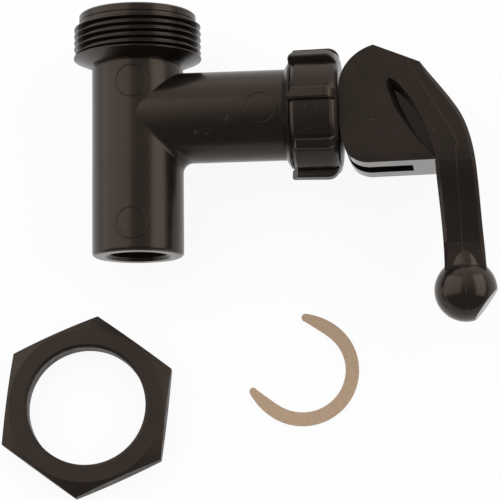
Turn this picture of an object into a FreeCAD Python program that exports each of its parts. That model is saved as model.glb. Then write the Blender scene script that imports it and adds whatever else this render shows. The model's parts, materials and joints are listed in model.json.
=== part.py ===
import FreeCAD, Part
import math
import os

V = FreeCAD.Vector

# A pinch tube faucet with its hex locknut and its horseshoe clip.
# Lengths are millimetres. The faucet is drawn in its own frame first:
# X runs along the side branch to the lever, Z runs up the threaded shank,
# and -Y faces the camera. At the end every piece is laid down on the floor.

# Vertical tube, shank and spout
TUBE_R = 11.85
SPOUT_Z = -35.9
SPOUT_EDGE_R = 1.0
SPOUT_BORE_R = 7.6
SPOUT_MOUTH_R = 8.5
SPOUT_MOUTH_DEPTH = 0.9
SPOUT_BORE_TOP_Z = -12.0
PASSAGE_R = 8.4
GROOVE_R = 11.0
GROOVE_TOP_Z = 14.2
GROOVE_WIDTH = 1.15
FLARE_FOOT_R = 12.4
FLARE_R = 16.6
FLARE_RIM_Z = 16.0
FLARE_LAND = 0.3
THREAD_ROOT_R = 15.0
ROOT_START_Z = 17.0
LIP_Z = 25.8
LIP_R = 15.2
THREAD_CREST_R = 16.5
THREAD_PITCH = 1.71
THREAD_FIRST_Z = 16.35
THREAD_START_DEG = 90.0
THREAD_TURNS = 5.1
THREAD_FADE = 0.35
THREAD_SUNK = 0.3
THREAD_FOOT_HALF = 0.8
THREAD_CREST_HALF = 0.12
SHANK_TOP_Z = 27.7
LIP_CHAMFER = 0.4
SHANK_BORE_R = 10.6
SHANK_FLOOR_Z = 17.4
SHANK_FLOOR_CHAMFER = 1.2

# Side branch
BRANCH_R = 11.75
BRANCH_FLANGE_X = 38.7
FLANGE_PEAK_X = 40.1
FLANGE_R = 14.0
FLANGE_FACE_X = 40.6
SPIGOT_R = 12.5
SPIGOT_END_X = 46.0
SPIGOT_CHAMFER = 0.5
BRANCH_BORE_R = 9.5
BRANCH_BORE_X = 4.0
CROTCH_R = 2.6
CROTCH_SUNK = 0.5

# Bonnet ring that closes the branch
SCREW_GAP = 0.05
BONNET_LIP_X = 41.05
BONNET_LIP_R = 14.2
DRUM_X = 41.95
DRUM_R = 15.7
DRUM_LIP_STEP = 0.8
DRUM_LIP_R = DRUM_R - DRUM_LIP_STEP
DRUM_ROUND = 2.6
BONNET_FACE_X = 53.0
RIB_HEIGHT = 1.6
RIB_RISE = 0.2
RIB_LOW_R = DRUM_R + RIB_HEIGHT
RIB_R = RIB_LOW_R + RIB_RISE
RIB_COUNT = 8
RIB_WIDTH = 3.0
RIB_FIRST_DEG = 7.3
RIB_START_X = 40.15
SHORT_RIBS = (3, 7)
RIB_UNDER_X = 42.5
RIB_SUNK = 0.4
RIB_UNDER_R = DRUM_LIP_R - RIB_SUNK
RIB_ROUND = 3.0
RIB_END_X = 52.6
RIB_EDGE = 0.5
RIB_NOSE_IN = 0.5
RIB_NOSE_DROP = 0.7
RIB_SLANT = 1.7
BONNET_CHAMBER_R = 10.6
BONNET_WALL = 2.6

# Plunger, stem and spring
STEM_FIT = 0.08
PLUNGER_FIT = 0.08
PLUNGER_NOSE_X = -3.2
NOSE_TIP_R = 1.6
NOSE_HALF_WIDTH = 6.1
PLUNGER_HEAD_X = 8.6
PLUNGER_BACK_X = 22.0
PLUNGER_SKIRT_R = 5.2
PLUNGER_SKIRT_X = 27.0
STEM_R = 3.5
STEM_SOCKET_X = 14.0
STEM_EYE_R = 5.2
STEM_EYE_HALF = 3.55
TRUNNION_R = 2.5
TRUNNION_HALF = 7.4
SPRING_COIL_R = 7.4
SPRING_WIRE_R = 0.65
SPRING_TURNS = 5.5
SPRING_STEPS = 24
SPRING_SIDES = 8
SPRING_CLEAR = 0.02
WASHER_R = 9.2
WASHER_THICK = 0.8

# Lever handle, cut from one moulding
PIN_X = 61.3
CAM_FLAT = 8.15
CAM_RISE = 4.9
CAM_END_DEG = 74.0
LEVER_MAX_DEG = 70.0
EAR_HALF = 10.5
SLOT_HALF = 3.9
SLOT_END_X = 71.2
SLOT_TOP_X = 74.0
SOCKET_FIT = 0.05
SOCKET_BOTTOM = 7.65
BEVEL = 0.95
POCKET_DEPTH = 3.2
# Crescent pocket beside the arm, as its left and right (x, z) edges from top to foot
POCKET_RIM = [
    [(65.9, 6.6), (65.2, 5.3), (65.75, 3.0), (67.0, -0.6), (69.0, -4.1), (71.0, -7.15),
     (73.1, -9.8), (75.4, -12.4), (76.95, -14.1)],
    [(76.95, -14.1), (76.8, -12.3), (75.75, -9.1), (74.6, -5.5), (73.05, -2.0), (71.4, 1.0),
     (69.4, 3.6), (67.6, 5.6), (65.9, 6.6)]]
POCKET_FLOOR = [
    [(66.95, 4.1), (68.2, 0.7), (69.8, -2.8), (71.8, -6.7), (74.2, -10.2), (76.6, -13.2)],
    [(76.6, -13.2), (76.2, -11.6), (75.5, -9.4), (74.35, -6.0), (72.75, -2.5), (71.1, 0.1),
     (69.1, 2.4), (66.95, 4.1)]]
# Outline of the lever as (x, z), from the top corner round the back to the foot
LEVER_BACK = [(73.8, 10.45), (77.9, 5.3), (81.5, 0.58), (84.1, -3.6), (85.7, -7.8),
              (86.7, -11.9), (87.5, -17.9), (88.03, -25.2), (88.55, -32.5), (88.95, -37.5),
              (89.2, -42.2)]
# and from the foot up the front of the arm to the web under the ears
LEVER_FRONT = [(78.7, -42.2), (78.6, -37.2), (78.35, -32.2), (78.0, -27.3), (77.6, -22.5),
               (77.05, -14.75)]
# and round the foot of the ears to the cam's flat
LEVER_HEEL = [(61.2, -15.05), (58.0, -14.65), (56.2, -13.65), (55.0, -12.2), (54.2, -10.5),
              (53.5, -7.6), (53.15, -4.2)]
LEVER_THIN_TOP_Z = -13.0
LEVER_THIN_FOOT_Z = -37.0
LEVER_THIN_HALF = 4.5
LEVER_LEVEL_STEP = 2.0
# Concave neck between arm and knob, as (radius, z)
NECK_X = 83.85
NECK = [(4.3, -36.8), (4.75, -38.1), (5.15, -39.4), (5.4, -40.6), (5.8, -41.7), (6.45, -42.7), (7.0, -43.5)]
KNOB_X = 83.8
KNOB_Z = -46.75
KNOB_R = 8.0
KNOB_FLAT = 6.3
KNOB_FLAT_DIR = (0.80, -0.60)

# Locknut for the shank thread
NUT_FLATS = 41.2
NUT_THICK = 6.5
NUT_BORE_R = 15.3
NUT_BORE_MOUTH = 0.7
NUT_CHAMFER_R = 19.9
NUT_CHAMFER_DEG = 25.0
NUT_VERTEX_DEG = 84.0

# Horseshoe clip for the groove under the flare
CLIP_FIT = 0.05
CLIP_OUTER_R = 14.5
CLIP_SPREAD = 0.4
CLIP_THICK = 0.95
CLIP_FROM_DEG = 203.0
CLIP_TO_DEG = 447.0
CLIP_FLARE_DEG = 40.0
CLIP_FLARE_POWER = 2.5
CLIP_TIP_R = 0.98

# Where the nut and the clip lie on the floor, from the shank axis
NUT_AT = (-13.45, -73.35)
CLIP_AT = (42.0, -63.75)


def turned(points, axis):
    """Solid of revolution from (radius, height) points round Z or X."""
    if axis == "Z":
        pts = [V(r, 0, h) for r, h in points]
        way = V(0, 0, 1)
    else:
        pts = [V(h, 0, r) for r, h in points]
        way = V(1, 0, 0)
    pts.append(pts[0])
    face = Part.Face(Part.makePolygon(pts))
    return face.revolve(V(0, 0, 0), way, 360)


def cylinder(radius, start, end, axis):
    """Cylinder along a main axis between two coordinates."""
    ways = {"X": V(1, 0, 0), "Y": V(0, 1, 0), "Z": V(0, 0, 1)}
    way = ways[axis]
    return Part.makeCylinder(radius, end - start, way * start, way)


def corner_arc(cx, cy, radius, start_deg, end_deg, steps):
    """Points on an arc, both ends included."""
    out = []
    for i in range(steps + 1):
        a = math.radians(start_deg + (end_deg - start_deg) * i / steps)
        out.append((cx + radius * math.cos(a), cy + radius * math.sin(a)))
    return out


def plate(points, y0, y1):
    """Prism from (x, z) points between two y values."""
    pts = [V(x, y0, z) for x, z in points]
    pts.append(pts[0])
    return Part.Face(Part.makePolygon(pts)).extrude(V(0, y1 - y0, 0))


def valve_body():
    spout_edge = corner_arc(TUBE_R - SPOUT_EDGE_R, SPOUT_Z + SPOUT_EDGE_R, SPOUT_EDGE_R, -90, 0, 5)
    outer = [(0, SPOUT_Z)]
    outer += spout_edge
    outer += [(TUBE_R, GROOVE_TOP_Z - GROOVE_WIDTH)]
    outer += [(GROOVE_R, GROOVE_TOP_Z - GROOVE_WIDTH)]
    outer += [(GROOVE_R, GROOVE_TOP_Z)]
    outer += [(FLARE_FOOT_R, GROOVE_TOP_Z)]
    outer += [(FLARE_R, FLARE_RIM_Z)]
    outer += [(FLARE_R, FLARE_RIM_Z + FLARE_LAND)]
    outer += [(THREAD_ROOT_R, ROOT_START_Z)]
    outer += [(THREAD_ROOT_R, LIP_Z - 0.2)]
    outer += [(LIP_R, LIP_Z)]
    outer += [(LIP_R, SHANK_TOP_Z - LIP_CHAMFER)]
    outer += [(LIP_R - LIP_CHAMFER, SHANK_TOP_Z)]
    outer += [(0, SHANK_TOP_Z)]
    tube = turned(outer, "Z")
    barrel = cylinder(BRANCH_R, 0, BRANCH_FLANGE_X, "X")
    solid = tube.fuse(barrel).fuse(crotch()).fuse(thread())
    flange = [(0, BRANCH_FLANGE_X - 0.5), (BRANCH_R, BRANCH_FLANGE_X - 0.5)]
    flange += [(BRANCH_R, BRANCH_FLANGE_X)]
    flange += [(FLANGE_R, FLANGE_PEAK_X)]
    flange += [(FLANGE_R, FLANGE_FACE_X)]
    flange += [(SPIGOT_R, FLANGE_FACE_X)]
    flange += [(SPIGOT_R, SPIGOT_END_X - SPIGOT_CHAMFER)]
    flange += [(SPIGOT_R - SPIGOT_CHAMFER, SPIGOT_END_X)]
    flange += [(0, SPIGOT_END_X)]
    solid = solid.fuse(turned(flange, "X"))
    bore = [(0, SPOUT_Z - 1), (SPOUT_MOUTH_R, SPOUT_Z - 1)]
    bore += [(SPOUT_MOUTH_R, SPOUT_Z)]
    bore += [(SPOUT_BORE_R, SPOUT_Z + SPOUT_MOUTH_DEPTH)]
    bore += [(SPOUT_BORE_R, SPOUT_BORE_TOP_Z)]
    bore += [(PASSAGE_R, SPOUT_BORE_TOP_Z + PASSAGE_R - SPOUT_BORE_R)]
    bore += [(PASSAGE_R, SHANK_FLOOR_Z - SHANK_FLOOR_CHAMFER)]
    bore += [(PASSAGE_R + SHANK_FLOOR_CHAMFER, SHANK_FLOOR_Z)]
    bore += [(SHANK_BORE_R, SHANK_FLOOR_Z)]
    bore += [(SHANK_BORE_R, SHANK_TOP_Z + 1)]
    bore += [(0, SHANK_TOP_Z + 1)]
    solid = solid.cut(turned(bore, "Z"))
    guide = cylinder(BRANCH_BORE_R, BRANCH_BORE_X, SPIGOT_END_X + 1, "X")
    return solid.cut(guide).removeSplitter()


def thread():
    """Right-handed ridge wound round the shank, running out at both ends."""
    per_turn = 12
    steps = int(THREAD_TURNS * per_turn)
    wires = []
    for i in range(steps + 1):
        t = i / per_turn
        grow = min(1.0, t / THREAD_FADE, (THREAD_TURNS - t) / THREAD_FADE)
        crest = THREAD_ROOT_R + (THREAD_CREST_R - THREAD_ROOT_R) * max(grow, 0.05)
        a = math.radians(THREAD_START_DEG) + 2 * math.pi * t
        z = THREAD_FIRST_Z + THREAD_PITCH * t
        sunk = THREAD_ROOT_R - THREAD_SUNK
        section = [(sunk, -THREAD_FOOT_HALF), (crest, -THREAD_CREST_HALF)]
        section += [(crest, THREAD_CREST_HALF), (sunk, THREAD_FOOT_HALF)]
        pts = [V(r * math.cos(a), r * math.sin(a), z + h) for r, h in section]
        wires.append(Part.makePolygon(pts + [pts[0]]))
    return Part.makeLoft(wires, True, False)


def crotch():
    """Rounding of the inside corner under the branch, fading towards the sides."""
    wires = []
    steps = 14
    for i in range(steps + 1):
        y = 0.985 * BRANCH_R * math.sin(math.pi * (i / steps - 0.5))
        a = math.sqrt(TUBE_R ** 2 - y ** 2)
        b = math.sqrt(BRANCH_R ** 2 - y ** 2)
        between = math.acos(y * y / TUBE_R / BRANCH_R)
        r = CROTCH_R * math.tan(between / 2)
        inset = CROTCH_SUNK
        pts = [V(a - inset, y, -b + inset), V(a - inset, y, -b - r)]
        for x, z in corner_arc(a + r, -b - r, r, 180, 90, 6):
            pts.append(V(x, y, z))
        pts.append(V(a + r, y, -b + inset))
        pts.append(pts[0])
        wires.append(Part.makePolygon(pts))
    return Part.makeLoft(wires, True, False)


def bonnet_ring():
    end_in = BONNET_FACE_X - BONNET_WALL
    drum = [(SPIGOT_R + SCREW_GAP, BONNET_LIP_X), (BONNET_LIP_R, BONNET_LIP_X)]
    drum += [(DRUM_LIP_R, DRUM_X)]
    drum += [(DRUM_R, DRUM_X)]
    for h, r in corner_arc(BONNET_FACE_X - DRUM_ROUND, DRUM_R - DRUM_ROUND, DRUM_ROUND, 90, 0, 6):
        drum.append((r, h))
    drum += [(STEM_R + STEM_FIT, BONNET_FACE_X)]
    drum += [(STEM_R + STEM_FIT, end_in)]
    drum += [(BONNET_CHAMBER_R, end_in)]
    drum += [(BONNET_CHAMBER_R, SPIGOT_END_X + SCREW_GAP)]
    drum += [(SPIGOT_R + SCREW_GAP, SPIGOT_END_X + SCREW_GAP)]
    solid = turned(drum, "X")
    for i in range(RIB_COUNT):
        start = DRUM_X if i in SHORT_RIBS else RIB_START_X
        solid = solid.fuse(bonnet_rib(start, RIB_FIRST_DEG + i * 360.0 / RIB_COUNT))
    return solid.removeSplitter()


def bonnet_rib(start, deg):
    """One grip rib, its long edges rounded, at an angle from -Y towards +Z."""
    rib = [(RIB_UNDER_R - 0.5, RIB_UNDER_X), (DRUM_LIP_R, start + 0.2)]
    rib += [(RIB_LOW_R - RIB_NOSE_DROP, start), (RIB_LOW_R, start + RIB_NOSE_IN)]
    for h, r in corner_arc(RIB_END_X - RIB_ROUND, RIB_R - RIB_ROUND, RIB_ROUND, 90, 10, 6):
        rib.append((r, h))
    rib += [(RIB_UNDER_R - 1.5, RIB_END_X - 0.6)]
    rib += [(RIB_UNDER_R - 1.5, RIB_UNDER_X + 1)]
    side = [V(x, -RIB_WIDTH / 2, r) for r, x in rib]
    bar = Part.Face(Part.makePolygon(side + [side[0]])).extrude(V(0, RIB_WIDTH, 0))
    crest = [e for e in bar.Edges if e.BoundBox.YLength < 0.01 and e.BoundBox.ZMin > RIB_R - RIB_ROUND]
    bar = bar.makeFillet(RIB_EDGE, crest)
    if start < DRUM_X:
        bar = bar.cut(slanted_end(start))
    bar.rotate(V(0, 0, 0), V(1, 0, 0), 90 - deg)
    return bar


def slanted_end(start):
    """Wedge that cuts a long rib's left end at a slant."""
    half = RIB_WIDTH / 2
    pts = [V(start - 1, -half - 1, 0), V(start, -half, 0), V(start + RIB_SLANT, half, 0)]
    pts += [V(start + RIB_SLANT, half + 1, 0), V(start - 1, half + 1, 0)]
    return Part.Face(Part.makePolygon(pts + [pts[0]])).extrude(V(0, 0, RIB_R + 5))


def pinch_plunger():
    guide_r = BRANCH_BORE_R - PLUNGER_FIT
    head = [(0, PLUNGER_HEAD_X), (guide_r - 0.6, PLUNGER_HEAD_X)]
    head += [(guide_r, PLUNGER_HEAD_X + 0.6)]
    head += [(guide_r, PLUNGER_BACK_X - 0.6)]
    head += [(guide_r - 0.6, PLUNGER_BACK_X)]
    head += [(PLUNGER_SKIRT_R, PLUNGER_BACK_X)]
    head += [(PLUNGER_SKIRT_R, PLUNGER_SKIRT_X)]
    head += [(0, PLUNGER_SKIRT_X)]
    solid = turned(head, "X")
    tip_x = PLUNGER_NOSE_X + NOSE_TIP_R
    wedge = [(PLUNGER_HEAD_X + 1, 5.6)]
    wedge += [(x, z) for x, z in corner_arc(tip_x, 0, NOSE_TIP_R, 115, 245, 8)]
    wedge += [(PLUNGER_HEAD_X + 1, -5.6)]
    solid = solid.fuse(plate(wedge, -NOSE_HALF_WIDTH, NOSE_HALF_WIDTH))
    hole = cylinder(STEM_R, STEM_SOCKET_X, PLUNGER_SKIRT_X + 1, "X")
    return solid.cut(hole).removeSplitter()


def plunger_stem():
    rod = [(0, STEM_SOCKET_X), (STEM_R - 0.4, STEM_SOCKET_X)]
    rod += [(STEM_R, STEM_SOCKET_X + 0.4)]
    rod += [(STEM_R, PIN_X - 2)]
    rod += [(0, PIN_X - 2)]
    solid = turned(rod, "X")
    eye = cylinder(STEM_EYE_R, -STEM_EYE_HALF, STEM_EYE_HALF, "Y")
    eye.translate(V(PIN_X, 0, 0))
    solid = solid.fuse(eye)
    pin = cylinder(TRUNNION_R, -TRUNNION_HALF, TRUNNION_HALF, "Y")
    pin.translate(V(PIN_X, 0, 0))
    return solid.fuse(pin).removeSplitter()


def spring_washer():
    far = BONNET_FACE_X - BONNET_WALL
    disc = cylinder(WASHER_R, far - WASHER_THICK, far, "X")
    return disc.cut(cylinder(STEM_R + 0.3, far - WASHER_THICK - 1, far + 1, "X"))


def closing_spring():
    """Wire coil between the plunger and the washer, its ends just clear of both."""
    start = PLUNGER_BACK_X + SPRING_WIRE_R + SPRING_CLEAR
    stop = BONNET_FACE_X - BONNET_WALL - WASHER_THICK - SPRING_WIRE_R - SPRING_CLEAR
    steps = int(SPRING_TURNS * SPRING_STEPS)
    wires = []
    for i in range(steps + 1):
        a = 2 * math.pi * i / SPRING_STEPS
        x = start + (stop - start) * i / steps
        pts = []
        for j in range(SPRING_SIDES):
            b = 2 * math.pi * j / SPRING_SIDES
            r = SPRING_COIL_R + SPRING_WIRE_R * math.cos(b)
            pts.append(V(x + SPRING_WIRE_R * math.sin(b), r * math.cos(a), r * math.sin(a)))
        wires.append(Part.makePolygon(pts + [pts[0]]))
    return Part.makeLoft(wires, True, True)


def cam_points():
    """Involute whose reach from the pin grows evenly with the lever angle."""
    out = []
    steps = 16
    for i in range(steps + 1):
        a = math.radians(CAM_END_DEG) * i / steps
        reach = CAM_FLAT + CAM_RISE * a
        x = PIN_X - reach * math.cos(a) + CAM_RISE * math.sin(a)
        z = reach * math.sin(a) + CAM_RISE * math.cos(a)
        out.append((x, z))
    return out


def lever_handle():
    rows = [cam_points(), LEVER_BACK, LEVER_FRONT, LEVER_HEEL]
    chain = []
    for i, row in enumerate(rows):
        chain.append(curve(row))
        chain.append(straight(row[-1], rows[(i + 1) % len(rows)][0]))
    slab = Part.Face(Part.Wire(chain)).extrude(V(0, 2 * EAR_HALF, 0))
    slab.translate(V(0, -EAR_HALF, 0))
    levels = arm_levels()
    pts = [V(45, half_thickness(z), z) for z in [20.0] + levels]
    pts += [V(45, -half_thickness(z), z) for z in levels[::-1] + [20.0]]
    pts.append(pts[0])
    envelope = Part.Face(Part.makePolygon(pts)).extrude(V(60, 0, 0))
    solid = slab.common(envelope)
    shoulder = [LEVER_BACK[0][1], 8.0, 5.5, 3.0, 0.5, -2.0, -4.5, -7.0, -10.0]
    solid = bevelled(solid, at_levels(LEVER_BACK, shoulder + levels), -1)
    front = [z for z in levels if z < LEVER_FRONT[-1][1]] + [LEVER_FRONT[-1][1]]
    solid = bevelled(solid, at_levels(LEVER_FRONT, sorted(front)), -1)
    neck = [(0, NECK[0][1])] + NECK + [(0, NECK[-1][1])]
    collar = turned(neck, "Z")
    collar.translate(V(NECK_X, 0, 0))
    solid = solid.fuse(collar)
    knob = Part.makeSphere(KNOB_R, V(KNOB_X, 0, KNOB_Z))
    solid = solid.fuse(knob)
    n = V(KNOB_FLAT_DIR[0], 0, KNOB_FLAT_DIR[1])
    n.normalize()
    block = Part.makeBox(10, 30, 30, V(0, -15, -15))
    block.Placement = FreeCAD.Placement(V(KNOB_X, 0, KNOB_Z) + n * KNOB_FLAT,
                                        FreeCAD.Rotation(V(1, 0, 0), n)).multiply(block.Placement)
    solid = solid.cut(block)
    slot_shape = [(45, -20), (SLOT_END_X, -20), (SLOT_END_X, -9), (SLOT_TOP_X, 20), (45, 20)]
    slot = plate(slot_shape, -SLOT_HALF, SLOT_HALF)
    solid = solid.cut(slot)
    socket = cylinder(TRUNNION_R + SOCKET_FIT, -SOCKET_BOTTOM, SOCKET_BOTTOM, "Y")
    socket.translate(V(PIN_X, 0, 0))
    solid = solid.cut(socket)
    for sign in (-1, 1):
        top = crescent(POCKET_RIM, sign * (EAR_HALF + 0.01))
        low = crescent(POCKET_FLOOR, sign * (EAR_HALF - POCKET_DEPTH))
        solid = solid.cut(Part.makeLoft([top, low], True, True))
    return solid.removeSplitter()


def half_thickness(z):
    """Half thickness of the lever at one height."""
    t = (LEVER_THIN_TOP_Z - z) / (LEVER_THIN_TOP_Z - LEVER_THIN_FOOT_Z)
    t = min(max(t, 0.0), 1.0)
    return EAR_HALF + (LEVER_THIN_HALF - EAR_HALF) * t * t * (3 - 2 * t)


def curve(points):
    """Smooth edge through (x, z) points."""
    c = Part.BSplineCurve()
    c.interpolate([V(x, 0, z) for x, z in points])
    return c.toShape()


def straight(start, end):
    """Straight edge between two (x, z) points."""
    return Part.makeLine(V(start[0], 0, start[1]), V(end[0], 0, end[1]))


def crescent(sides, y):
    """Closed wire at one y, of two smooth edges between the same two points."""
    wire = Part.Wire([curve(side) for side in sides])
    wire.translate(V(0, y, 0))
    return wire


def arm_levels():
    """Heights down the arm at which its thickness is set."""
    count = round((LEVER_THIN_TOP_Z - LEVER_THIN_FOOT_Z) / LEVER_LEVEL_STEP)
    levels = [LEVER_THIN_TOP_Z - LEVER_LEVEL_STEP * i for i in range(count + 1)]
    return levels + [LEVER_BACK[-1][1]]


def at_levels(points, levels):
    """(x, z) points at the given heights on the smooth edge through some points."""
    row = [(p.z, p.x) for p in curve(points).discretize(Number=600)]
    row.sort()
    out = []
    for z in levels:
        i = 1
        while i < len(row) - 1 and row[i][0] < z:
            i += 1
        (z0, x0), (z1, x1) = row[i - 1], row[i]
        out.append((x0 + (x1 - x0) * (z - z0) / (z1 - z0), z))
    return out


def bevelled(solid, chain, inward):
    """Cut a bevel along both faces of the lever, beside a row of outline points."""
    count = len(chain)
    for sign in (-1, 1):
        wires = []
        for i in range(count):
            x0, z0 = chain[max(i - 1, 0)]
            x1, z1 = chain[min(i + 1, count - 1)]
            n = V(z0 - z1, 0, x1 - x0)
            n.normalize()
            n = n * inward
            x, z = chain[i]
            h = half_thickness(z)
            fade = BEVEL * (0.25 if i in (0, count - 1) else 1.0)
            on_face = V(x, 0, z) + n * fade + V(0, sign * h, 0)
            on_side = V(x, sign * (h - fade), z)
            grow = (on_face - on_side) * 0.4
            far = V(x, sign * (h + 1.5), z) - n * 1.5
            wires.append(Part.makePolygon([on_face + grow, far, on_side - grow, on_face + grow]))
        solid = solid.cut(Part.makeLoft(wires, True, True))
    return solid


def hex_locknut():
    corner = NUT_FLATS / 2 / math.cos(math.pi / 6)
    pts = []
    for i in range(7):
        a = math.radians(NUT_VERTEX_DEG + 60 * i)
        pts.append(V(corner * math.cos(a), corner * math.sin(a), 0))
    prism = Part.Face(Part.makePolygon(pts)).extrude(V(0, 0, NUT_THICK))
    drop = (corner + 1 - NUT_CHAMFER_R) * math.tan(math.radians(NUT_CHAMFER_DEG))
    blank = [(0, 0), (NUT_CHAMFER_R, 0), (corner + 1, drop)]
    blank += [(corner + 1, NUT_THICK - drop), (NUT_CHAMFER_R, NUT_THICK), (0, NUT_THICK)]
    solid = prism.common(turned(blank, "Z"))
    hole = [(0, -1), (NUT_BORE_R + NUT_BORE_MOUTH + 1, -1), (NUT_BORE_R, NUT_BORE_MOUTH)]
    hole += [(NUT_BORE_R, NUT_THICK - NUT_BORE_MOUTH)]
    hole += [(NUT_BORE_R + NUT_BORE_MOUTH + 1, NUT_THICK + 1), (0, NUT_THICK + 1)]
    return solid.cut(turned(hole, "Z"))


def clip_edges(deg):
    """Inner and outer radius of the clip at one angle."""
    near = min(deg - CLIP_FROM_DEG, CLIP_TO_DEG - deg)
    grow = max(0.0, 1.0 - near / CLIP_FLARE_DEG) ** CLIP_FLARE_POWER
    outer = CLIP_OUTER_R + CLIP_SPREAD * grow
    inner = GROOVE_R + CLIP_FIT
    return inner + (outer - 2 * CLIP_TIP_R - inner) * grow, outer


def clip_row(which):
    """Edges of the clip's inner (0) or outer (1) side: a true arc with a flare at each end."""
    def at(deg):
        r = clip_edges(deg)[which]
        return V(r * math.cos(math.radians(deg)), r * math.sin(math.radians(deg)), 0)

    arc_from = CLIP_FROM_DEG + CLIP_FLARE_DEG
    arc_to = CLIP_TO_DEG - CLIP_FLARE_DEG
    steps = 8
    first = [at(CLIP_FROM_DEG + CLIP_FLARE_DEG * i / steps) for i in range(steps + 1)]
    last = [at(arc_to + CLIP_FLARE_DEG * i / steps) for i in range(steps + 1)]
    edges = []
    for row in (first, last):
        c = Part.BSplineCurve()
        c.interpolate(row)
        edges.append(c.toShape())
    middle = Part.Arc(first[-1], at((arc_from + arc_to) / 2), last[0]).toShape()
    return [edges[0], middle, edges[1]], first[0], last[-1]


def horseshoe_clip():
    inner, inner_start, inner_end = clip_row(0)
    outer, outer_start, outer_end = clip_row(1)
    ends = [Part.makeLine(inner_end, outer_end), Part.makeLine(outer_start, inner_start)]
    ring = inner + [ends[0]] + outer[::-1] + [ends[1]]
    solid = Part.Face(Part.Wire(ring)).extrude(V(0, 0, CLIP_THICK))
    for near, far in ((inner_start, outer_start), (inner_end, outer_end)):
        solid = solid.fuse(Part.makeCylinder(CLIP_TIP_R, CLIP_THICK, (near + far) * 0.5))
    return solid.removeSplitter()


def touch_points():
    """Low points of the three places that the lying faucet rests on."""
    rim = [V(FLARE_R * math.sin(a), FLARE_R * math.cos(a), FLARE_RIM_Z) for a in fan()]
    spout = [V(TUBE_R * math.sin(a), TUBE_R * math.cos(a), SPOUT_Z + SPOUT_EDGE_R) for a in fan()]
    lean = math.radians(RIB_FIRST_DEG + 180)
    ribs = []
    for i in range(-45, 46):
        t = math.radians(2 * i)
        side = math.copysign(RIB_WIDTH / 2 - RIB_EDGE, t)
        across = side + RIB_EDGE * math.sin(t)
        slant = RIB_SLANT * (across / RIB_WIDTH + 0.5)
        left = RIB_START_X + max(slant, RIB_NOSE_IN)
        for x, crest in ((left, RIB_LOW_R), (RIB_END_X - RIB_ROUND, RIB_R)):
            out = crest - RIB_EDGE + RIB_EDGE * math.cos(t)
            y = across * math.sin(lean) - out * math.cos(lean)
            z = across * math.cos(lean) + out * math.sin(lean)
            ribs.append(V(x, y, z))
    return rim, spout, ribs


def fan():
    return [math.radians(0.05 * i) for i in range(-400, 401)]


def floor_plane():
    """Direction down and floor distance for the faucet at rest."""
    rim, spout, ribs = touch_points()
    down = V(0, 1, 0)
    for _ in range(30):
        a = max(rim, key=lambda p: p.dot(down))
        b = max(spout, key=lambda p: p.dot(down))
        c = max(ribs, key=lambda p: p.dot(down))
        down = (c - a).cross(b - a)
        down.normalize()
        if down.y < 0:
            down = down * -1
    return down, a.dot(down)


def laid_down():
    """Placement from the faucet's frame to the floor frame, Z up."""
    down, reach = floor_plane()
    up = down * -1
    east = V(1, 0, 0) - up * up.x
    east.normalize()
    north = up.cross(east)
    m = FreeCAD.Matrix(east.x, east.y, east.z, 0,
                       north.x, north.y, north.z, 0,
                       up.x, up.y, up.z, reach,
                       0, 0, 0, 1)
    return FreeCAD.Placement(m)


def main():
    lay = laid_down()
    shapes = {
        "valve_body": valve_body(),
        "bonnet_ring": bonnet_ring(),
        "pinch_plunger": pinch_plunger(),
        "plunger_stem": plunger_stem(),
        "closing_spring": closing_spring(),
        "spring_washer": spring_washer(),
        "lever_handle": lever_handle(),
    }
    for name in shapes:
        shapes[name].Placement = lay.multiply(shapes[name].Placement)
    nut = hex_locknut()
    nut.translate(V(NUT_AT[0], NUT_AT[1], 0))
    shapes["hex_locknut"] = nut
    clip = horseshoe_clip()
    clip.translate(V(CLIP_AT[0], CLIP_AT[1], 0))
    shapes["horseshoe_clip"] = clip
    xs = []
    ys = []
    for name in shapes:
        for p in shapes[name].tessellate(0.05)[0]:
            xs.append(p.x)
            ys.append(p.y)
    shift = V(-(min(xs) + max(xs)) / 2, -(min(ys) + max(ys)) / 2, 0)
    os.makedirs("parts", exist_ok=True)
    for name in shapes:
        piece = shapes[name].copy()
        piece.translate(shift)
        piece.exportStep("parts/" + name + ".step")
        print(name, piece.ShapeType, len(piece.Solids), piece.isValid(), round(piece.Volume, 1))
    return lay, shift


LAID, SHIFT = main()
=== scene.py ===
import json
import math

import bpy
from mathutils import Matrix, Vector


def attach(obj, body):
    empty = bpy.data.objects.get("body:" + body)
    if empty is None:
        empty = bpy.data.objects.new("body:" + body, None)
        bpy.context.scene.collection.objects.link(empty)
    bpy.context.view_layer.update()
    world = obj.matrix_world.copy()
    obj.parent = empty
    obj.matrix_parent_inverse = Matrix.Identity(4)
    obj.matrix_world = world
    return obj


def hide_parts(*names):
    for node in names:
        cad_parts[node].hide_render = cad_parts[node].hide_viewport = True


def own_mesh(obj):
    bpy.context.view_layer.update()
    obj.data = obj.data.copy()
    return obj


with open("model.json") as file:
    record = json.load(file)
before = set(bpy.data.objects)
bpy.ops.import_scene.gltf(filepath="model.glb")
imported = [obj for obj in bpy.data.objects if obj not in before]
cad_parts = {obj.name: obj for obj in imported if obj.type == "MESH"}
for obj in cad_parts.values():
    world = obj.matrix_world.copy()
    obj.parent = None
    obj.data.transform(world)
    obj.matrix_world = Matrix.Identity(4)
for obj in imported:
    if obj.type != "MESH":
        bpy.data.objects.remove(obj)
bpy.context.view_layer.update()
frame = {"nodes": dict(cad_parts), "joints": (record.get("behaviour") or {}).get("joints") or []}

MM = 0.001

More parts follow.
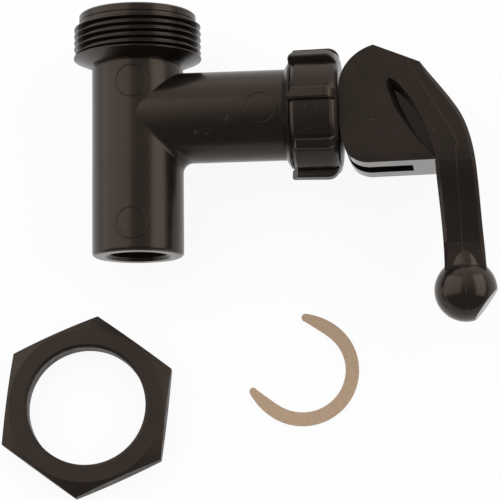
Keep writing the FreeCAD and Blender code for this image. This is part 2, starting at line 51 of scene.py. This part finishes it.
# The faucet's own frame, from the joints: X along the branch, Z up the shank, -Y to the camera
JOINTS = {j["name"]: j for j in frame["joints"]}
AXIS_X = Vector(JOINTS["plunger_slide"]["axis"]).normalized()
AXIS_Y = -Vector(JOINTS["lever_hinge"]["axis"]).normalized()
AXIS_Z = AXIS_X.cross(AXIS_Y)
PIN_X = 61.3
PIN = Vector(JOINTS["lever_hinge"]["pos_m"])
ORIGIN = PIN - AXIS_X * PIN_X * MM

# Sizes shared with the solids, in millimetres
TUBE_R = 11.85
BRANCH_R = 11.75
EAR_HALF = 10.5
ARM_THIN_TOP_Z = -13.0
ARM_THIN_FOOT_Z = -37.0
ARM_THIN_HALF = 4.5
NECK = (
    (-37.5, 4.5), (-38.1, 4.75), (-39.4, 5.15), (-40.6, 5.4), (-41.7, 5.8), (-42.7, 6.45),
    (-43.5, 7.0),
)
KNOB = (83.8, -46.75)
KNOB_R = 8.0
SPRING_R = 7.4
SPRING_WIRE_R = 0.65
SPRING_FROM_X = 22.67
SPRING_TO_X = 48.93
SPRING_TURNS = 5.5
COIL_STEPS_PER_TURN = 40
COIL_SIDES = 10

# Circles left by the mould's inserts: place along the tube or branch, and their section
TUBE_RINGS = {"upper_ring_mark": 8.0, "spout_ring_mark": -28.8}
BRANCH_RING_X = 33.2
RING_R = 4.05
RING_STEPS = 96
RING_SECTION = ((-0.24, -0.03), (-0.096, 0.11), (0.096, 0.11), (0.24, -0.03))

# The lever's parting line as (x, z) points down its face, and its section
PARTING_ROUTE = (
    (70.6, 10.9), (71.7, 8.7), (76.7, 0.3), (82.2, -9.2), (82.35, -12.6), (82.5, -18.1),
    (82.7, -22.5), (83.0, -30.4), (83.4, -38.0), (83.6, -40.2), (83.9, -44.5), (84.0, -47.8),
    (84.2, -51.0), (84.2, -53.0),
)
PARTING_STEPS = 8
PARTING_SECTION = ((-0.16, 0.06), (-0.07, -0.06), (0.07, -0.06), (0.16, 0.06))

# Camera, fitted to the photograph
CAM_AZIMUTH = 6.54
CAM_ELEVATION = -8.778
CAM_ROLL = -0.589
CAM_DISTANCE = 615.965
CAM_AIM = (28.96, 0.0, -34.919)
CAM_PIXELS = 2405.43
IMAGE = 500
SHARP_DEG = 30.0
PLASTIC_IOR = 1.42
SENSOR = 36.0

# Plastic: shades as (dark, light), the tint of its sheen and the dust on it
BLACK = ((0.007, 0.0055, 0.0048), (0.010, 0.008, 0.007))
# The lever's black is a lighter copy of the body's black: painted light that brightens its arm.
LEVER_BLACK_PAINTED_LIGHTER = ((0.010, 0.0080, 0.0070), (0.0145, 0.0115, 0.0102))
NUT_BLACK = ((0.0070, 0.0056, 0.0049), (0.0105, 0.0084, 0.0074))
STEM_BLACK = ((0.008, 0.0065, 0.006), (0.013, 0.011, 0.01))
TAN = ((0.380, 0.258, 0.164), (0.447, 0.318, 0.214))
ACETAL = ((0.50, 0.50, 0.48), (0.58, 0.58, 0.56))
STEEL = ((0.47, 0.46, 0.44), (0.62, 0.61, 0.59))
SHEEN_TINT = (1.0, 0.77, 0.62)
DUST_SCALE = 1500.0
DUST = ((0.785, (0.0, 0.0, 0.0)), (0.825, (0.09, 0.078, 0.067)))

# Scuffs on the branch as (x, z, reach), in millimetres, and how their lines wander
BRANCH_SCUFFS = ((24.6, -2.5, 1.0), (16.9, -5.5, 0.8), (19.5, -5.7, 0.8))
SCUFF_SCALE = 800.0
SCUFF_WIDTH = 0.018
SCUFF_COLOUR = (0.080, 0.068, 0.058)

# Studio: brightness of the world by elevation about the faucet, and its two softboxes
# as (azimuth, elevation, width in metres, brightness)
WORLD_STRENGTH = 1.4
WORLD = ((-12, 0.18), (12, 0.44), (35, 0.59), (60, 0.82), (90, 1.0))
SOFTBOXES = {"left_box": (-52, 12, 1.0, 1.2), "right_box": (59, 10, 0.43, 1.9)}
BOX_HEIGHT = 0.8
BOX_DISTANCE = 0.62
BOX_AIM = (40, 0, -10)

# Floor: how white it is, how much of it glows to camera and mirrors, and its size in metres
FLOOR_WHITE = 0.93
FLOOR_GLOW = 0.92
FLOOR_REACH = 3.0
FLOOR_DROP = 0.00002


def place(x, y, z):
    """World point from the faucet's frame in millimetres."""
    return ORIGIN + (AXIS_X * x + AXIS_Y * y + AXIS_Z * z) * MM


def facing(azimuth, elevation):
    """World direction from angles about the faucet, 0,0 being -Y."""
    a = math.radians(azimuth)
    e = math.radians(elevation)
    out = AXIS_X * math.sin(a) * math.cos(e)
    out -= AXIS_Y * math.cos(a) * math.cos(e)
    return out + AXIS_Z * math.sin(e)


def on_branch(x, z):
    """Point on the branch's near face."""
    return place(x, -math.sqrt(BRANCH_R ** 2 - z ** 2), z)


def new_mesh(name, verts, faces, smooth=True):
    mesh = bpy.data.meshes.new(name)
    mesh.from_pydata([tuple(v) for v in verts], [], faces)
    mesh.validate()
    mesh.update()
    for p in mesh.polygons:
        p.use_smooth = smooth
    obj = bpy.data.objects.new(name, mesh)
    bpy.context.scene.collection.objects.link(obj)
    return obj


def swept(name, rings, closed):
    """Skin over rings of points that all have the same count."""
    count = len(rings[0])
    verts = [p for ring in rings for p in ring]
    faces = []
    last = len(rings) if closed else len(rings) - 1
    for i in range(last):
        a = i * count
        b = ((i + 1) % len(rings)) * count
        for j in range(count):
            k = (j + 1) % count
            faces.append((a + j, a + k, b + k, b + j))
    if not closed:
        faces.append(tuple(reversed(range(count))))
        faces.append(tuple(range(len(verts) - count, len(verts))))
    return new_mesh(name, verts, faces)


# Materials


class Nodes:
    """Small helper that adds and links shader nodes."""

    def __init__(self, name):
        self.material = bpy.data.materials.new(name)
        self.material.use_nodes = True
        self.tree = self.material.node_tree
        self.tree.nodes.clear()
        self.out = self.tree.nodes.new("ShaderNodeOutputMaterial")
        self.coord = self.tree.nodes.new("ShaderNodeTexCoord")

    def add(self, kind, **values):
        node = self.tree.nodes.new(kind)
        for key, value in values.items():
            setattr(node, key, value)
        return node

    def link(self, a, b):
        self.tree.links.new(a, b)

    def noise(self, scale, detail=3.0, rough=0.5):
        node = self.add("ShaderNodeTexNoise")
        node.inputs["Scale"].default_value = scale
        node.inputs["Detail"].default_value = detail
        node.inputs["Roughness"].default_value = rough
        self.link(self.coord.outputs["Object"], node.inputs["Vector"])
        return node

    def ramp(self, fac, stops):
        node = self.add("ShaderNodeValToRGB")
        while len(node.color_ramp.elements) < len(stops):
            node.color_ramp.elements.new(0.5)
        for element, (at, colour) in zip(node.color_ramp.elements, stops):
            element.position = at
            element.color = (*colour, 1.0)
        self.link(fac, node.inputs["Fac"])
        return node

    def span(self, fac, low, high, out_low, out_high):
        node = self.add("ShaderNodeMapRange")
        limits = {"From Min": low, "From Max": high, "To Min": out_low, "To Max": out_high}
        for key, value in limits.items():
            node.inputs[key].default_value = value
        self.link(fac, node.inputs["Value"])
        return node

    def bump(self, height, strength, distance):
        node = self.add("ShaderNodeBump")
        node.inputs["Strength"].default_value = strength
        node.inputs["Distance"].default_value = distance
        self.link(height, node.inputs["Height"])
        return node

    def math(self, operation, value, operand=None):
        node = self.add("ShaderNodeMath", operation=operation)
        self.link(value, node.inputs[0])
        if isinstance(operand, float):
            node.inputs[1].default_value = operand
        elif operand is not None:
            self.link(operand, node.inputs[1])
        return node.outputs["Value"]

    def scuffs(self, spots):
        """1 on the short wandering scratches inside each (point, radius in metres), else 0."""
        path = self.noise(SCUFF_SCALE, 1.0, 0.5)
        off = self.math("ABSOLUTE", self.math("SUBTRACT", path.outputs["Fac"], 0.5))
        line = self.math("LESS_THAN", off, SCUFF_WIDTH)
        within = None
        for point, radius in spots:
            gap = self.add("ShaderNodeVectorMath", operation="DISTANCE")
            gap.inputs[1].default_value = tuple(point)
            self.link(self.coord.outputs["Object"], gap.inputs[0])
            inside = self.math("LESS_THAN", gap.outputs["Value"], radius)
            within = inside if within is None else self.math("MAXIMUM", within, inside)
        return self.math("MULTIPLY", line, within)

    def finish(self, shader):
        self.link(shader, self.out.inputs["Surface"])
        return self.material


def moulded(name, shades, rough, grain, grain_depth, scuffs=()):
    """Black moulded plastic with a brownish sheen, fine grain, uneven gloss, dust and scuffs."""
    n = Nodes(name)
    shader = n.add("ShaderNodeBsdfPrincipled")
    cloud = n.noise(90.0, 4.0, 0.6)
    colour = n.ramp(cloud.outputs["Fac"], ((0.35, shades[0]), (0.7, shades[1])))
    dust = n.noise(DUST_SCALE, 1.0, 0.4)
    specks = n.ramp(dust.outputs["Fac"], DUST)
    mixed = n.add("ShaderNodeMixRGB", blend_type="ADD")
    mixed.inputs["Fac"].default_value = 1.0
    n.link(colour.outputs["Color"], mixed.inputs["Color1"])
    n.link(specks.outputs["Color"], mixed.inputs["Color2"])
    if scuffs:
        marked = n.add("ShaderNodeMixRGB", blend_type="MIX")
        marked.inputs["Color2"].default_value = (*SCUFF_COLOUR, 1.0)
        n.link(n.scuffs(scuffs), marked.inputs["Fac"])
        n.link(mixed.outputs["Color"], marked.inputs["Color1"])
        mixed = marked
    n.link(mixed.outputs["Color"], shader.inputs["Base Color"])
    wear = n.noise(260.0, 5.0, 0.65)
    gloss = n.span(wear.outputs["Fac"], 0.3, 0.75, rough * 0.85, rough * 1.25)
    n.link(gloss.outputs["Result"], shader.inputs["Roughness"])
    fine = n.noise(grain, 2.0, 0.5)
    relief = n.bump(fine.outputs["Fac"], 0.6, grain_depth * MM)
    n.link(relief.outputs["Normal"], shader.inputs["Normal"])
    shader.inputs["Specular Tint"].default_value = (*SHEEN_TINT, 1.0)
    shader.inputs["IOR"].default_value = PLASTIC_IOR
    return n.finish(shader.outputs["BSDF"])


def tan_sheet(name):
    """Tan moulded sheet with a fine diagonal grain."""
    n = Nodes(name)
    shader = n.add("ShaderNodeBsdfPrincipled")
    turn = n.add("ShaderNodeMapping")
    turn.inputs["Rotation"].default_value = (0.0, 0.0, math.radians(-55.0))
    turn.inputs["Scale"].default_value = (1.0, 2.6, 1.0)
    n.link(n.coord.outputs["Object"], turn.inputs["Vector"])
    streak = n.add("ShaderNodeTexNoise")
    streak.inputs["Scale"].default_value = 900.0
    streak.inputs["Detail"].default_value = 4.0
    n.link(turn.outputs["Vector"], streak.inputs["Vector"])
    colour = n.ramp(streak.outputs["Fac"], ((0.3, TAN[0]), (0.7, TAN[1])))
    n.link(colour.outputs["Color"], shader.inputs["Base Color"])
    relief = n.bump(streak.outputs["Fac"], 0.5, 0.03 * MM)
    n.link(relief.outputs["Normal"], shader.inputs["Normal"])
    shader.inputs["Roughness"].default_value = 0.62
    return n.finish(shader.outputs["BSDF"])


def acetal(name):
    """Pale grey moulded acetal."""
    n = Nodes(name)
    shader = n.add("ShaderNodeBsdfPrincipled")
    cloud = n.noise(140.0, 3.0, 0.5)
    colour = n.ramp(cloud.outputs["Fac"], ((0.3, ACETAL[0]), (0.7, ACETAL[1])))
    n.link(colour.outputs["Color"], shader.inputs["Base Color"])
    relief = n.bump(cloud.outputs["Fac"], 0.3, 0.02 * MM)
    n.link(relief.outputs["Normal"], shader.inputs["Normal"])
    shader.inputs["Roughness"].default_value = 0.4
    return n.finish(shader.outputs["BSDF"])


def steel(name, rough):
    """Drawn or stamped spring steel."""
    n = Nodes(name)
    shader = n.add("ShaderNodeBsdfPrincipled")
    cloud = n.noise(700.0, 3.0, 0.6)
    colour = n.ramp(cloud.outputs["Fac"], ((0.3, STEEL[0]), (0.7, STEEL[1])))
    n.link(colour.outputs["Color"], shader.inputs["Base Color"])
    gloss = n.span(cloud.outputs["Fac"], 0.3, 0.7, rough * 0.8, rough * 1.2)
    n.link(gloss.outputs["Result"], shader.inputs["Roughness"])
    shader.inputs["Metallic"].default_value = 1.0
    return n.finish(shader.outputs["BSDF"])


# Black plastics as (name, shades, roughness, grain scale, grain depth in millimetres)
MATERIALS = {
    "valve_body": moulded(
        "body_black", BLACK, 0.24, 2600.0, 0.004,
        scuffs=[(on_branch(x, z), r * MM) for x, z, r in BRANCH_SCUFFS]),
    "bonnet_ring": moulded("bonnet_black", BLACK, 0.24, 2600.0, 0.005),
    # The lever gets the lighter copy of the black, as painted light on its arm.
    "lever_handle": moulded("lever_black", LEVER_BLACK_PAINTED_LIGHTER, 0.18, 2200.0, 0.004),
    "hex_locknut": moulded("nut_black", NUT_BLACK, 0.50, 2600.0, 0.030),
    "horseshoe_clip": tan_sheet("clip_tan"),
    "pinch_plunger": acetal("plunger_grey"),
    "plunger_stem": moulded("stem_black", STEM_BLACK, 0.35, 1800.0, 0.008),
    "closing_spring": steel("spring_steel", 0.28),
    "spring_washer": steel("washer_steel", 0.34),
}


def dress_nodes():
    for name, obj in frame["nodes"].items():
        obj.data.materials.clear()
        obj.data.materials.append(MATERIALS[name])
        for face in obj.data.polygons:
            face.use_smooth = True
        obj.data.set_sharp_from_angle(angle=math.radians(SHARP_DEG))


# Pieces added to the solids


def ring_mark(name, centre, along_branch):
    """Thin raised circle that follows the tube's round face, as a mould insert leaves."""
    tube = BRANCH_R if along_branch else TUBE_R
    rings = []
    for i in range(RING_STEPS):
        a = 2 * math.pi * i / RING_STEPS
        ring = []
        for off, lift in RING_SECTION:
            along = (RING_R + off) * math.cos(a)
            around = (RING_R + off) * math.sin(a) / tube
            r = tube + lift
            if along_branch:
                ring.append(place(centre + along, -r * math.cos(around), r * math.sin(around)))
            else:
                ring.append(place(r * math.sin(around), -r * math.cos(around), centre + along))
        rings.append(ring)
    obj = swept(name, rings, True)
    obj.data.materials.append(MATERIALS["valve_body"])
    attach(obj, "faucet")


def half_thickness(z):
    t = (ARM_THIN_TOP_Z - z) / (ARM_THIN_TOP_Z - ARM_THIN_FOOT_Z)
    t = min(max(t, 0.0), 1.0)
    return EAR_HALF + (ARM_THIN_HALF - EAR_HALF) * t * t * (3 - 2 * t)


def front_reach(x, z):
    """How far the lever's near face stands out from its middle plane."""
    if z > NECK[0][0]:
        return half_thickness(z)
    ball = KNOB_R ** 2 - (x - KNOB[0]) ** 2 - (z - KNOB[1]) ** 2
    reach = math.sqrt(max(ball, 0.0))
    for (z0, r0), (z1, r1) in zip(NECK, NECK[1:]):
        if z1 <= z <= z0:
            reach = max(reach, r0 + (r1 - r0) * (z0 - z) / (z0 - z1))
    return reach


def smooth_line(points, per_span):
    """Catmull-Rom points through (x, z) pairs."""
    out = []
    for i in range(len(points) - 1):
        p0 = points[max(i - 1, 0)]
        p1 = points[i]
        p2 = points[i + 1]
        p3 = points[min(i + 2, len(points) - 1)]
        for s in range(per_span):
            t = s / per_span
            out.append(tuple(
                0.5 * (2 * b + (c - a) * t + (2 * a - 5 * b + 4 * c - d) * t * t
                       + (3 * b - a - 3 * c + d) * t ** 3)
                for a, b, c, d in zip(p0, p1, p2, p3)))
    out.append(points[-1])
    return out


def parting_line():
    """Fine raised line down the face of the lever, where the mould's halves met."""
    rings = []
    pts = smooth_line(PARTING_ROUTE, PARTING_STEPS)
    for i, (x, z) in enumerate(pts):
        x0, z0 = pts[max(i - 1, 0)]
        x1, z1 = pts[min(i + 1, len(pts) - 1)]
        length = math.hypot(x1 - x0, z1 - z0)
        sx = (z1 - z0) / length
        sz = -(x1 - x0) / length
        y = -front_reach(x, z)
        ring = []
        for side, lift in PARTING_SECTION:
            ring.append(place(x + sx * side, y + lift, z + sz * side))
        rings.append(ring)
    obj = swept("lever_parting_line", rings, False)
    obj.data.materials.append(MATERIALS["lever_handle"])
    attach(obj, "lever")


def closing_coil():
    """The closing spring as a wire coil, shown in place of the hidden solid spring."""
    steps = int(SPRING_TURNS * COIL_STEPS_PER_TURN)
    rings = []
    for i in range(steps + 1):
        a = 2 * math.pi * i / COIL_STEPS_PER_TURN
        x = SPRING_FROM_X + (SPRING_TO_X - SPRING_FROM_X) * i / steps
        ring = []
        for j in range(COIL_SIDES):
            b = 2 * math.pi * j / COIL_SIDES
            r = SPRING_R + SPRING_WIRE_R * math.cos(b)
            ring.append(place(x + SPRING_WIRE_R * math.sin(b), r * math.cos(a), r * math.sin(a)))
        rings.append(ring)
    obj = swept("closing_coil", rings, False)
    obj.data.materials.append(MATERIALS["closing_spring"])
    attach(obj, "faucet")
    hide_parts("closing_spring")
    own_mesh(obj)


# Floor, light and camera


def white_floor():
    """White floor that glows to the camera and in mirrors, and still takes the shadow."""
    n = Nodes("white_floor")
    base = n.add("ShaderNodeBsdfDiffuse")
    base.inputs["Color"].default_value = (FLOOR_WHITE, FLOOR_WHITE, FLOOR_WHITE, 1.0)
    glow = n.add("ShaderNodeEmission")
    glow.inputs["Strength"].default_value = 1.0
    path = n.add("ShaderNodeLightPath")
    seen = n.math("MAXIMUM", path.outputs["Is Camera Ray"], path.outputs["Is Glossy Ray"])
    seen = n.math("MAXIMUM", seen, path.outputs["Is Transmission Ray"])
    mix = n.add("ShaderNodeMixShader")
    n.link(n.math("MULTIPLY", seen, FLOOR_GLOW), mix.inputs["Fac"])
    n.link(base.outputs["BSDF"], mix.inputs[1])
    n.link(glow.outputs["Emission"], mix.inputs[2])
    material = n.finish(mix.outputs["Shader"])
    signs = ((-1, -1), (1, -1), (1, 1), (-1, 1))
    corners = [(x * FLOOR_REACH, y * FLOOR_REACH, 0) for x, y in signs]
    floor = new_mesh("floor", corners, [(0, 1, 2, 3)], False)
    floor.location.z = -FLOOR_DROP
    floor.data.materials.append(material)


def softbox(name, azimuth, elevation, width, radiance):
    """Flat lamp facing the faucet, its strength given as the brightness of its face."""
    lamp = bpy.data.lights.new(name, "AREA")
    lamp.shape = "RECTANGLE"
    lamp.size = width
    lamp.size_y = BOX_HEIGHT
    lamp.energy = radiance * math.pi * width * BOX_HEIGHT
    obj = bpy.data.objects.new(name, lamp)
    bpy.context.scene.collection.objects.link(obj)
    way = facing(azimuth, elevation)
    obj.location = place(*BOX_AIM) + way * BOX_DISTANCE
    side = AXIS_Z.cross(way).normalized()
    up = way.cross(side)
    turn = Matrix((side, up, way)).transposed()
    obj.rotation_euler = turn.to_euler()


def studio():
    """World that is dim towards the spout and brightens towards the shank."""
    world = bpy.data.worlds.new("studio")
    world.use_nodes = True
    tree = world.node_tree
    back = tree.nodes["Background"]
    coord = tree.nodes.new("ShaderNodeTexCoord")
    dot = tree.nodes.new("ShaderNodeVectorMath")
    dot.operation = "DOT_PRODUCT"
    dot.inputs[1].default_value = tuple(AXIS_Z)
    tree.links.new(coord.outputs["Generated"], dot.inputs[0])
    height = tree.nodes.new("ShaderNodeMapRange")
    height.inputs["From Min"].default_value = -1.0
    tree.links.new(dot.outputs["Value"], height.inputs["Value"])
    ramp = tree.nodes.new("ShaderNodeValToRGB")
    while len(ramp.color_ramp.elements) < len(WORLD):
        ramp.color_ramp.elements.new(0.5)
    for element, (elevation, level) in zip(ramp.color_ramp.elements, WORLD):
        element.position = (math.sin(math.radians(elevation)) + 1) / 2
        element.color = (level, level * 0.99, level * 0.98, 1.0)
    tree.links.new(height.outputs["Result"], ramp.inputs["Fac"])
    tree.links.new(ramp.outputs["Color"], back.inputs["Color"])
    back.inputs["Strength"].default_value = WORLD_STRENGTH
    bpy.context.scene.world = world


def light():
    studio()
    for name, (azimuth, elevation, width, radiance) in SOFTBOXES.items():
        softbox(name, azimuth, elevation, width, radiance)


def camera():
    data = bpy.data.cameras.new("camera")
    data.sensor_width = SENSOR
    data.lens = CAM_PIXELS / IMAGE * SENSOR
    data.clip_end = 20.0
    obj = bpy.data.objects.new("camera", data)
    bpy.context.scene.collection.objects.link(obj)
    way = facing(CAM_AZIMUTH, CAM_ELEVATION)
    obj.location = place(*CAM_AIM) + way * CAM_DISTANCE * MM
    right = AXIS_Z.cross(way).normalized()
    up = way.cross(right)
    roll = math.radians(CAM_ROLL)
    rolled = right * math.cos(roll) + up * math.sin(roll)
    lifted = up * math.cos(roll) - right * math.sin(roll)
    obj.rotation_euler = Matrix((rolled, lifted, way)).transposed().to_euler()
    bpy.context.scene.camera = obj


dress_nodes()
for ring_name, ring_z in TUBE_RINGS.items():
    ring_mark(ring_name, ring_z, False)
ring_mark("branch_ring_mark", BRANCH_RING_X, True)
parting_line()
closing_coil()
white_floor()
light()
camera()
bpy.context.scene.view_settings.view_transform = "Standard"
